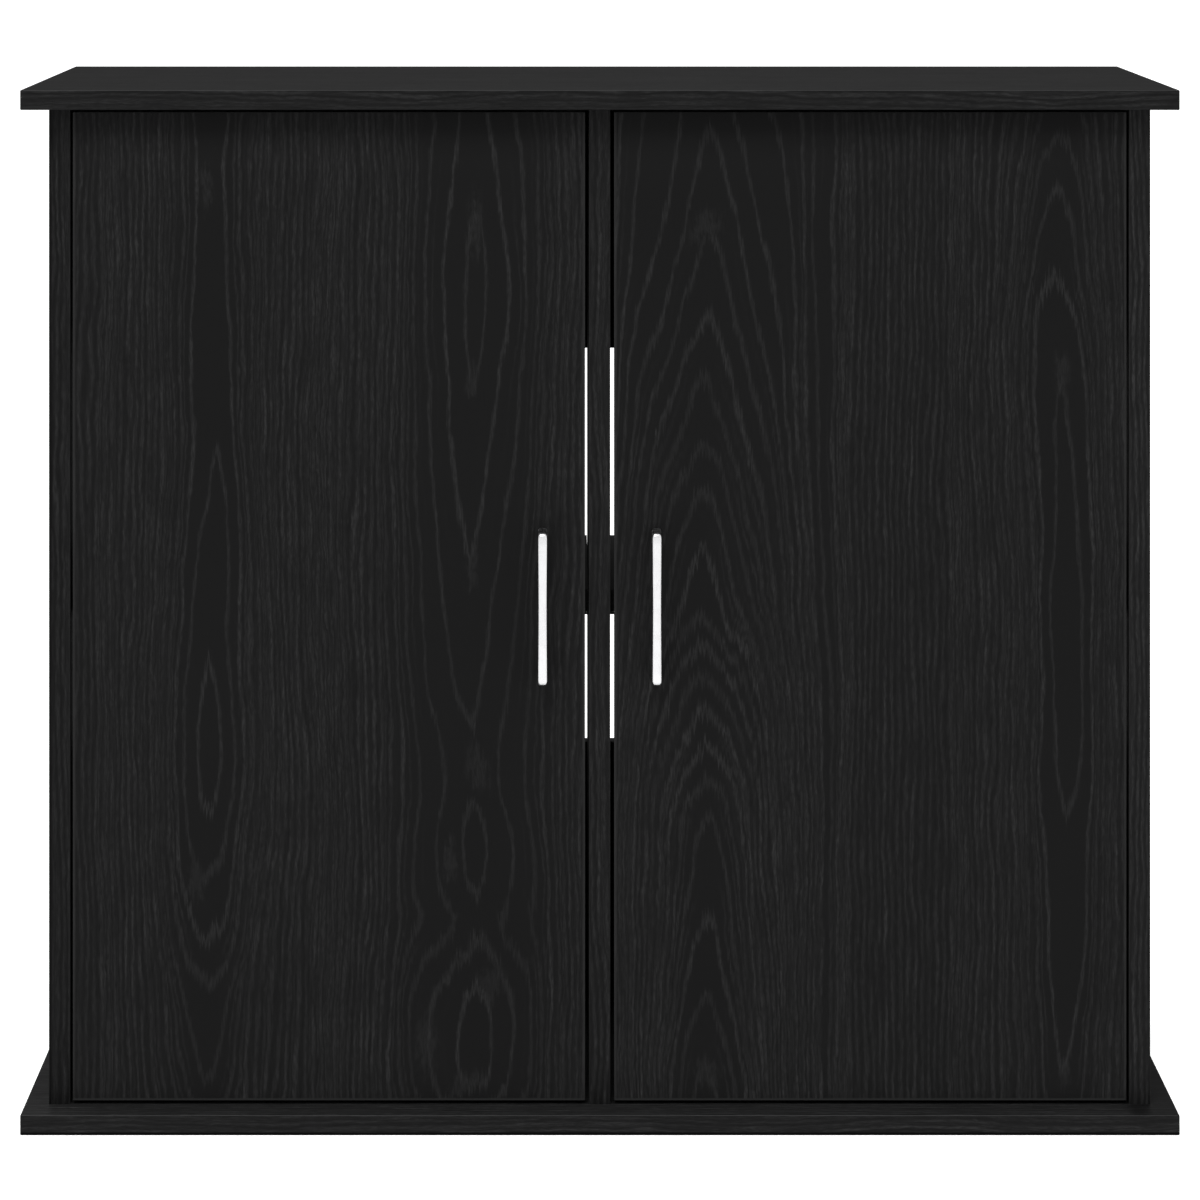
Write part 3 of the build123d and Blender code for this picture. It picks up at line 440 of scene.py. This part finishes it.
# Grain direction (upright along Z, level along X), pattern shift, ring width
# in mm, strength of the painted edge highlight, tone gain of upright faces and
# tone gain of top and bottom faces (both painted light and shade), axis of the
# hidden raw ends (0 is X, 2 is Z)
BOARDS = {
    "top_panel": ("level", 11.0, 4.3, 1.0, 1.0, 0.95, None),
    "base_panel": ("level", 23.0, 4.3, 1.0, 1.2, 1.75, None),
    "left_side_panel": ("upright", 31.0, 4.4, 0.4, 0.85, 1.0, 2),
    "right_side_panel": ("upright", 37.0, 4.4, 0.4, 1.16, 1.0, 2),
    "centre_divider": ("upright", 43.0, 4.4, 0.4, 0.98, 1.0, 2),
    "left_shelf": ("level", 47.0, 4.6, 0.4, 1.0, 1.0, 0),
    "right_shelf": ("level", 53.0, 4.6, 0.4, 1.0, 1.0, 0),
    "upper_left_back_rail": ("level", 59.0, 4.6, 0.4, 1.0, 1.0, 0),
    "upper_right_back_rail": ("level", 61.0, 4.6, 0.4, 1.0, 1.0, 0),
    "lower_left_back_rail": ("level", 67.0, 4.6, 0.4, 1.0, 1.0, 0),
    "lower_right_back_rail": ("level", 71.0, 4.6, 0.4, 1.0, 1.0, 0),
    "left_door": ("upright", 2.0, 5.0, 1.0, 1.0, 1.0, None),
    "right_door": ("upright", 6.0, 5.0, 1.0, 1.0, 1.0, None),
}

# Outer corner shade: box corner (0 low, 1 high), reach in mm, gain at the edge
CORNER_SHADE = {
    "left_side_panel": (0, 3.2, 0.2),
    "right_side_panel": (1, 2.0, 0.6),
}


def oak_material(board):
    """Decor of one board. Narrow edges carry an edge band whose grain runs
    along the edge."""
    grain, shift, ring, edge_highlight, upright_gain, level_gain, _ = BOARDS[board]
    lo, hi = [[value * 1000.0 for value in corner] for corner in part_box(board)]
    material, tree = new_material("black_oak_" + board)
    coords, (x, y, z) = tree.position_mm()
    normal = Signal(tree, coords.outputs["Normal"]).split()
    on_x, on_y, on_z = [abs(part).op("GREATER_THAN", 0.6) for part in normal]
    if grain == "upright":
        # front and rear faces: U = x; side faces: U = y; ends: U = y, V = x
        u = on_x.op("MAXIMUM", on_z).mix(x, y)
        v = on_z.mix(z, x)
    else:
        # top and bottom faces: U = y; front and rear: U = z; ends: U = z, V = y
        u = on_z.mix(z, y)
        v = on_x.mix(x, y)
    # each face direction has its own stretch of pattern
    place = on_x * 3.7 + on_z * 8.9 + shift
    warp = tree.node("ShaderNodeGroup", {"U": u, "V": v, "Shift": place, "Sway": 1.0},
                     node_tree=WARP)
    warped_u, warped_v = [Signal(tree, warp.outputs[key]) for key in ("U2", "V2")]
    inputs = {"U": u, "V": v, "Shift": place,
              "Rings": warped_u / ring, "Slope": 1.0 / ring, "Rise": 0.0}
    if board in DOORS:
        columns, figure = DOORS[board]
        here = cathedral(warped_u, warped_v, columns, ring)
        across = cathedral(warped_u + STEP_ACROSS, warped_v, columns, ring)
        along = cathedral(warped_u, warped_v + STEP_ALONG, columns, ring)
        inputs["Rings"] = on_y.mix(inputs["Rings"], here)
        inputs["Slope"] = on_y.mix(1.0 / ring, abs(across - here))
        inputs["Rise"] = abs((along - here) / STEP_ALONG) * on_y
        inputs["Knots"] = knot_figure(warped_u, warped_v, figure) * on_y
    decor = tree.node("ShaderNodeGroup", inputs, node_tree=OAK)

    # chamfer faces; with the door rims below they get a painted highlight
    edges = (on_x + on_y + on_z).op("GREATER_THAN", 1.5)
    # painted light and shade: each board's upright and level faces are lightened or darkened
    # for how the light falls on them
    gain = on_z.mix(upright_gain, level_gain)
    if board in DOORS:
        # painted highlight: a lighter line just inside the side edges and along the foot,
        # where the rounded edge band would catch light
        near = abs(x - lo[0]).op("MINIMUM", abs(x - hi[0]))
        foot_highlight = abs(z - lo[2]).ramp(1.5, 2.3, first=1.0, last=0.0)
        rim_highlight = near.ramp(1.3, 2.1, first=0.45, last=0.0).op("MAXIMUM", foot_highlight)
        edges = edges.op("MAXIMUM", rim_highlight * on_y)
        # painted light and shade: the face is lightened most at its foot, offsetting the base
        # slab's shade, and varies just under the top slab
        gain = gain * on_y.mix(1.0, z.curve(DOOR_LIGHT_GAIN))
    if board in CORNER_SHADE:
        # the outer corner turns away from the light
        corner, reach, edge_gain = CORNER_SHADE[board]
        turned = abs(x - (lo, hi)[corner][0]).ramp(0.6, reach, first=edge_gain, last=1.0)
        gain = gain * on_y.mix(1.0, turned)
    if board == "base_panel":
        # the lowest line of the base slab lies in its own contact shadow
        gain = gain * z.ramp(1.5, 2.7, first=0.05, last=1.0)
        # its right end faces away from the key light
        gain = gain * on_z.mix(1.0, x.ramp(366.0, 378.0, first=1.0, last=0.42))
    tone, height = [Signal(tree, decor.outputs[key]) for key in ("Tone", "Height")]
    # edges that face down get painted shade
    under = normal[2].op("LESS_THAN", -0.35)
    decor_surface(tree, tone, height, edges * edge_highlight, gain, under, HIGHLIGHT_TONES[grain])
    return material


# ---------------------------------------------------------------------------
# Chipboard, metal and beech
# ---------------------------------------------------------------------------


def chipboard_material():
    """Chips as warped cells in three browns, with dark dust."""
    material, tree = new_material("raw_chipboard")
    _, (x, y, z) = tree.position_mm()
    place = tree.vector(x, y, z)
    warp = place.noise(scale=0.35)
    cells = tree.value("ShaderNodeTexVoronoi",
                       {"Vector": tree.vector(x + warp * 2.0, y, z * 1.4), "Scale": 0.55},
                       output="Color")
    shade, pale, _ = cells.split()
    colour = shade.mix_colour((0.43, 0.30, 0.17, 1), (0.20, 0.12, 0.06, 1))
    colour = pale.ramp(0.6, 0.95).mix_colour(colour, (0.60, 0.46, 0.29, 1))
    dust = place.noise(scale=2.3, detail=3.0, roughness=0.6)
    colour = dust.ramp(0.62, 0.8).mix_colour(colour, (0.12, 0.08, 0.05, 1))
    tree.surface(tree.principled({
        "Base Color": colour, "Roughness": 0.9, "Specular IOR Level": 0.2,
        "Normal": tree.bump(shade + dust, strength=0.6, distance=0.0003)}))
    return material


def metal_material(name, colour, roughness, grain_scale=(2.2, 2.2, 2.2), tint=0.08,
                   brush=0.12):
    """Plated or satin metal with light smudges. A low grain scale on one axis
    brushes it along that axis; tint darkens, brush roughens."""
    material, tree = new_material(name)
    _, (x, y, z) = tree.position_mm()
    stretched = tree.vector(x * grain_scale[0], y * grain_scale[1], z * grain_scale[2])
    grain = stretched.noise(scale=1.0, detail=3.0, roughness=0.6)
    smudge = tree.vector(x, y, z).noise(scale=0.09).ramp(0.35, 0.7)
    dark = tuple(channel * (1 - tint) for channel in colour[:3]) + (1.0,)
    shown = smudge.mix_colour(colour, dark)
    shown = (grain.ramp(0.45, 0.75) * 0.5).mix_colour(shown, dark)
    tree.surface(tree.principled({
        "Base Color": shown, "Metallic": 1.0,
        "Roughness": roughness + grain * brush + smudge * 0.05,
        "Normal": tree.bump(grain, strength=0.12, distance=0.00003)}))
    return material


def beech_material():
    """Warm brown with dark flecks drawn out along Z."""
    material, tree = new_material("beech")
    _, (x, y, z) = tree.position_mm()
    fleck = tree.vector(x * 2.4, y * 2.4, z * 0.22).noise(scale=1.0, detail=3.0, roughness=0.6)
    wave = tree.vector(x * 0.5, y * 0.5, z * 0.05).noise(scale=1.0)
    colour = wave.mix_colour((0.52, 0.34, 0.18, 1), (0.66, 0.46, 0.27, 1))
    colour = (fleck.ramp(0.55, 0.75) * 0.6).mix_colour(colour, (0.33, 0.19, 0.09, 1))
    tree.surface(tree.principled({
        "Base Color": colour, "Roughness": 0.65,
        "Normal": tree.bump(fleck, strength=0.3, distance=0.0001)}))
    return material


# ---------------------------------------------------------------------------
# Materials on the pieces
# ---------------------------------------------------------------------------

RAW_INSET = 1.2 * MM  # faces deeper inside a board's box show chipboard
END_INSET = 0.3 * MM  # a hidden end lies this close to the box


def dress(node, *materials):
    slots = NODES[node].data.materials
    slots.clear()
    for material in materials:
        slots.append(material)


def mark_raw_faces(board):
    """Chipboard in bores and on hidden ends, decor elsewhere."""
    lo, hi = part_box(board)
    end_axis = BOARDS[board][-1]
    for face in NODES[board].data.polygons:
        insets = [min(face.center[i] - lo[i], hi[i] - face.center[i]) for i in range(3)]
        raw = min(insets) > RAW_INSET
        if end_axis is not None and abs(face.normal[end_axis]) > 0.9:
            raw = raw or insets[end_axis] < END_INSET
        face.material_index = 1 if raw else 0


CHIPBOARD = chipboard_material()
for board in BOARDS:
    dress(board, oak_material(board), CHIPBOARD)
    mark_raw_faces(board)

NICKEL = metal_material("nickel_plated_steel", (0.62, 0.60, 0.56, 1), roughness=0.24)
PRESSED = metal_material("pressed_steel", (0.50, 0.49, 0.47, 1), roughness=0.34)
ZINC = metal_material("die_cast_zinc", (0.42, 0.43, 0.45, 1), roughness=0.42, tint=0.2)
SCREW = metal_material("zinc_plated_screw", (0.66, 0.66, 0.66, 1), roughness=0.28)
SATIN = metal_material("satin_silver", (0.455, 0.455, 0.46, 1), roughness=0.20,
                       grain_scale=(9.0, 9.0, 0.12), tint=0.03, brush=0.08)
BEECH = beech_material()

# Fittings found on both sides
SIDE_FITTINGS = {
    "hinge_arms": NICKEL, "hinge_cups": NICKEL, "outer_links": PRESSED,
    "inner_links": PRESSED, "arm_rivets": SCREW, "cup_rivets": SCREW,
    "mounting_plates": NICKEL, "plate_screws": SCREW, "arm_screws": SCREW,
    "cup_screws": SCREW, "handle_screws": SCREW, "shelf_pins": NICKEL, "handle": SATIN,
}
COMMON_FITTINGS = {
    "top_cam_locks": ZINC, "rail_cam_locks": ZINC, "top_cam_bolts": SCREW,
    "rail_cam_bolts": SCREW, "divider_cam_bolts": SCREW, "wooden_dowels": BEECH,
    "base_screws": SCREW,
}
# Bevel widths in mm
SOFT_EDGES = {
    "hinge_arms": 0.18, "hinge_cups": 0.15, "mounting_plates": 0.18, "outer_links": 0.12,
    "inner_links": 0.12, "shelf_pins": 0.25,
}


def soften(node, width_mm):
    """Weld the mesh and round its sharp edges."""
    modifiers = NODES[node].modifiers
    weld = modifiers.new("weld", "WELD")
    weld.merge_threshold = 0.00001
    bevel = modifiers.new("bevel", "BEVEL")
    bevel.width = width_mm * MM
    bevel.segments = 2
    bevel.limit_method = "ANGLE"
    bevel.angle_limit = math.radians(32.0)
    bevel.use_clamp_overlap = True
    bevel.harden_normals = False


for side in SIDES:
    for part, metal in SIDE_FITTINGS.items():
        dress(side + "_" + part, metal)
    for part, width in SOFT_EDGES.items():
        soften(side + "_" + part, width)
for part, metal in COMMON_FITTINGS.items():
    dress(part, metal)


def mesh_object(name, mesh_builder, material):
    """Turn a bmesh into an object in the scene."""
    mesh = bpy.data.meshes.new(name)
    mesh_builder.to_mesh(mesh)
    mesh_builder.free()
    made = bpy.data.objects.new(name, mesh)
    bpy.context.scene.collection.objects.link(made)
    mesh.materials.append(material)
    return made


# ---------------------------------------------------------------------------
# Bow handles: one bent bar with rounded edges
# ---------------------------------------------------------------------------

LEG_HEIGHT = 11.0 * MM
BAR_DEPTH = 7.0 * MM
OUTER_RADIUS = 2.8 * MM
INNER_RADIUS = 4.0 * MM
SECTION_RADIUS = 1.7 * MM
LEG_STEPS = 6
BEND_STEPS = 10
HALF_BAR_STEPS = 8
CORNER_STEPS = 4


def handle_path(y_foot, y_out, z_lo, z_hi):
    """Stations from the upper foot to the lower: outer (y, z), inner (y, z)."""
    y_outer_bend = y_out + OUTER_RADIUS
    y_inner_bend = y_out + BAR_DEPTH + INNER_RADIUS
    half = []
    for k in range(LEG_STEPS + 1):
        part = k / LEG_STEPS
        half.append(((y_foot + (y_outer_bend - y_foot) * part, z_hi),
                     (y_foot + (y_inner_bend - y_foot) * part, z_hi - LEG_HEIGHT)))
    for k in range(1, BEND_STEPS + 1):
        angle = math.radians(90.0 * k / BEND_STEPS)
        half.append((
            (y_outer_bend - OUTER_RADIUS * math.sin(angle),
             z_hi - OUTER_RADIUS + OUTER_RADIUS * math.cos(angle)),
            (y_inner_bend - INNER_RADIUS * math.sin(angle),
             z_hi - LEG_HEIGHT - INNER_RADIUS + INNER_RADIUS * math.cos(angle))))
    mid_z = (z_lo + z_hi) / 2
    (_, outer_z), (_, inner_z) = half[-1]
    for k in range(1, HALF_BAR_STEPS + 1):
        part = k / HALF_BAR_STEPS
        half.append(((y_out, outer_z + (mid_z - outer_z) * part),
                     (y_out + BAR_DEPTH, inner_z + (mid_z - inner_z) * part)))
    mirrored = [tuple((y, 2 * mid_z - z) for y, z in station) for station in half[:-1]]
    return half + mirrored[::-1]


def bow_handle(side):
    lo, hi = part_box(side + "_handle")
    half_width = (hi[0] - lo[0]) / 2
    mid_x = (hi[0] + lo[0]) / 2
    builder = bmesh.new()
    rings = []
    for (outer_y, outer_z), (inner_y, inner_z) in handle_path(hi[1], lo[1], lo[2], hi[2]):
        mid_y, mid_z = (outer_y + inner_y) / 2, (outer_z + inner_z) / 2
        half_y, half_z = (outer_y - inner_y) / 2, (outer_z - inner_z) / 2
        half_depth = math.hypot(half_y, half_z)
        ring = []
        # the section's corners: sign across, sign outward
        for quarter, (across, outward) in enumerate(((1, 1), (-1, 1), (-1, -1), (1, -1))):
            for k in range(CORNER_STEPS + 1):
                angle = math.radians(90.0 * quarter + 90.0 * k / CORNER_STEPS)
                x = (across * (half_width - SECTION_RADIUS)
                     + SECTION_RADIUS * math.cos(angle))
                out = (outward * (half_depth - SECTION_RADIUS)
                       + SECTION_RADIUS * math.sin(angle))
                ring.append(builder.verts.new((mid_x + x, mid_y + half_y / half_depth * out,
                                               mid_z + half_z / half_depth * out)))
        rings.append(ring)
    count = len(rings[0])
    for ring, after in zip(rings, rings[1:]):
        for i in range(count):
            j = (i + 1) % count
            builder.faces.new((ring[i], ring[j], after[j], after[i]))
    builder.faces.new(rings[0][::-1])
    builder.faces.new(rings[-1])
    bmesh.ops.recalc_face_normals(builder, faces=builder.faces)
    for face in builder.faces:
        face.smooth = len(face.verts) == 4
    handle = mesh_object(side + "_bow_handle", builder, SATIN)
    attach(handle, side + "_door")
    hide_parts(side + "_handle")


for side in SIDES:
    bow_handle(side)

# ---------------------------------------------------------------------------
# Stage, light and camera
# ---------------------------------------------------------------------------

FLOOR_SIDES = 64
FLOOR_RADIUS = 30.0
FLOOR_Z = -0.0002  # just under the base
LIGHT_TARGET = (0, 0, 0.4)

# The view axis looks down through the rig, while the picture plane stays
# upright. Tilts are sideways and upward travel per metre of depth.
LENS = 137.02
TILT_X, TILT_Z = 0.00733, -0.16300
CAMERA_X, CAMERA_Y, CAMERA_Z = -0.0233, -3.3696, 0.8938


def floor_material():
    material, tree = new_material("pale_floor")
    cloud = tree.value("ShaderNodeTexCoord", output="Object").noise(scale=1.3)
    tree.surface(tree.principled({
        "Base Color": cloud.mix_colour(grey(0.86), grey(0.89)),
        "Roughness": 0.8, "Specular IOR Level": 0.1,
        "Emission Color": grey(1.0), "Emission Strength": 0.35}))
    return material


def make_floor():
    builder = bmesh.new()
    ring = []
    for i in range(FLOOR_SIDES):
        angle = 2 * math.pi * i / FLOOR_SIDES
        ring.append(builder.verts.new((FLOOR_RADIUS * math.cos(angle),
                                       FLOOR_RADIUS * math.sin(angle), FLOOR_Z)))
    builder.faces.new(ring)
    mesh_object("studio_floor", builder, floor_material())


def softbox(name, place, size, power):
    """A square area light aimed at the cabinet."""
    lamp = bpy.data.lights.new(name, "AREA")
    lamp.energy = power
    lamp.shape = "RECTANGLE"
    lamp.size = size
    lamp.size_y = size
    holder = bpy.data.objects.new(name, lamp)
    holder.location = place
    aim = Vector(LIGHT_TARGET) - Vector(place)
    holder.rotation_euler = aim.to_track_quat("-Z", "Y").to_euler()
    bpy.context.scene.collection.objects.link(holder)


def make_world(scene):
    world = bpy.data.worlds.new("studio_world")
    scene.world = world
    world.use_nodes = True
    tree = Tree(world.node_tree)
    glow = tree.value("ShaderNodeBackground", {"Color": grey(1.0), "Strength": 1.3})
    tree.node("ShaderNodeOutputWorld", {"Surface": glow})


def make_camera(scene):
    camera_data = bpy.data.cameras.new("camera")
    camera_data.sensor_width = 36.0
    camera_data.clip_end = 100.0
    # points from the cabinet back to the camera
    axis = Vector((-TILT_X, -1.0, -TILT_Z))
    camera_data.lens = LENS * axis.length
    axis.normalize()
    rig = bpy.data.objects.new("camera_rig", None)
    scene.collection.objects.link(rig)
    camera = bpy.data.objects.new("camera", camera_data)
    scene.collection.objects.link(camera)
    camera.parent = rig
    camera.matrix_parent_inverse = Matrix((
        (1.0, 0.0, axis.x, CAMERA_X),
        (0.0, 0.0, axis.y, CAMERA_Y),
        (0.0, 1.0, axis.z, CAMERA_Z),
        (0.0, 0.0, 0.0, 1.0),
    ))
    scene.camera = camera


scene = bpy.context.scene
make_floor()
softbox("key_softbox", place=(-0.7, -2.7, 3.1), size=1.6, power=110)
softbox("fill_softbox", place=(2.2, -2.8, 1.6), size=2.4, power=14)
softbox("top_softbox", place=(0.0, 0.6, 3.2), size=2.6, power=40)
make_world(scene)
scene.view_settings.view_transform = "Standard"
scene.view_settings.look = "None"
scene.view_settings.exposure = 0.0
scene.view_settings.gamma = 1.0
make_camera(scene)
